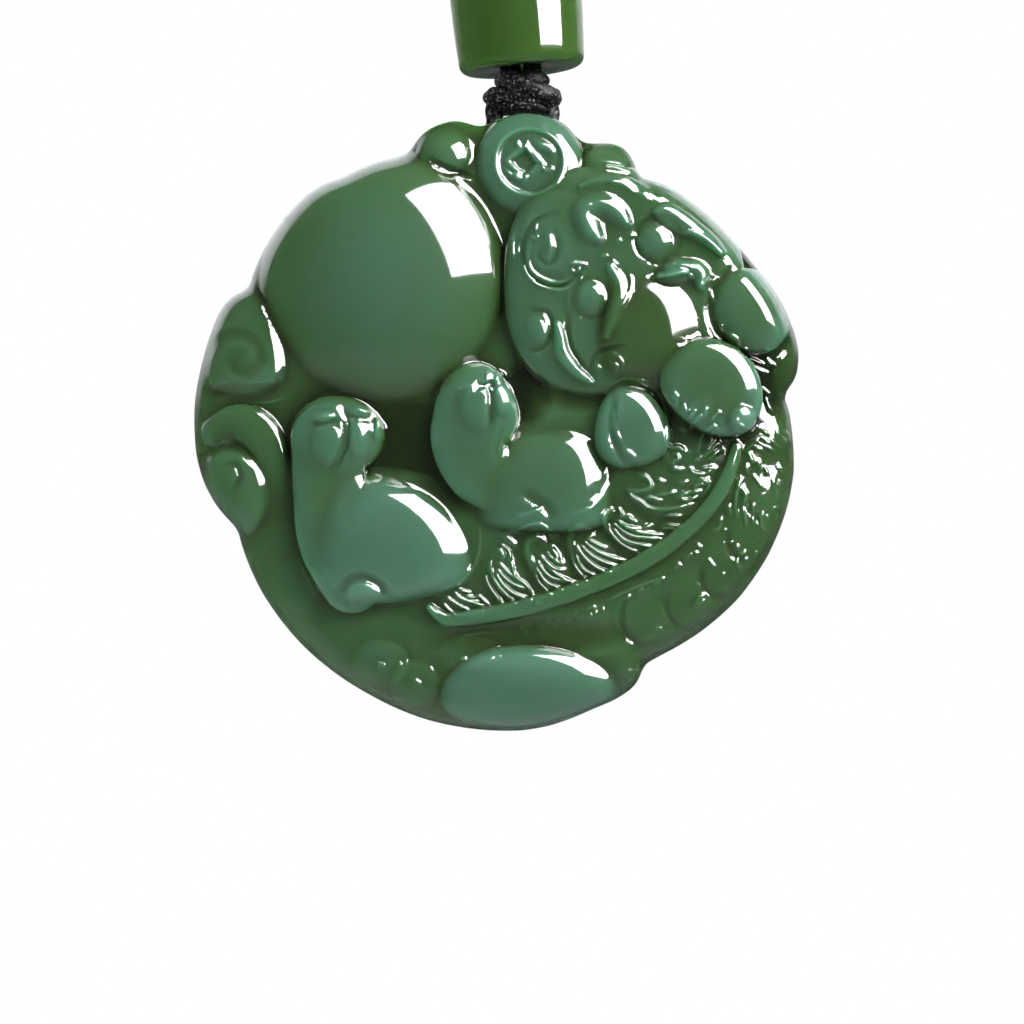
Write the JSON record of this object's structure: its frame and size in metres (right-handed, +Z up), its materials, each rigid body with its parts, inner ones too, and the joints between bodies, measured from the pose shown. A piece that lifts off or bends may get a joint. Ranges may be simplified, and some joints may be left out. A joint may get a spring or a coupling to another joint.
{
  "type": "carved jade pendant on a knotted cord with a barrel bead",
  "caption": "Round carved green jade pendant, a curled beast with a smooth dome and a coin on top, swinging from a black cord with a knot, a barrel bead and a hanging loop.",
  "frame": {"origin": "top of the hanging loop, inside, where the pendant hangs", "axes": "+Z up, carved front towards -Y, +X to the right seen from the front"},
  "size_m": [0.0499, 0.0163, 0.1072],
  "materials": {
    "carved_jade": "polished",
    "bead_jade": "polished",
    "black_cord": "satin"
  },
  "bodies": {
    "hanger": {"bail_cord": "black_cord", "lower_knot": "black_cord", "bead_cord": "black_cord", "barrel_bead": "bead_jade", "top_knot": "black_cord", "hanging_loop": "black_cord"},
    "pendant": {"jade_carving": "carved_jade"}
  },
  "joints": [
    {"name": "pendant_swing", "type": "hinge", "parent": "hanger", "child": "pendant", "pos_m": [0.00449, 0, -0.0596], "axis": [1, 0, 0], "range_deg": [-10, 40]}
  ]
}
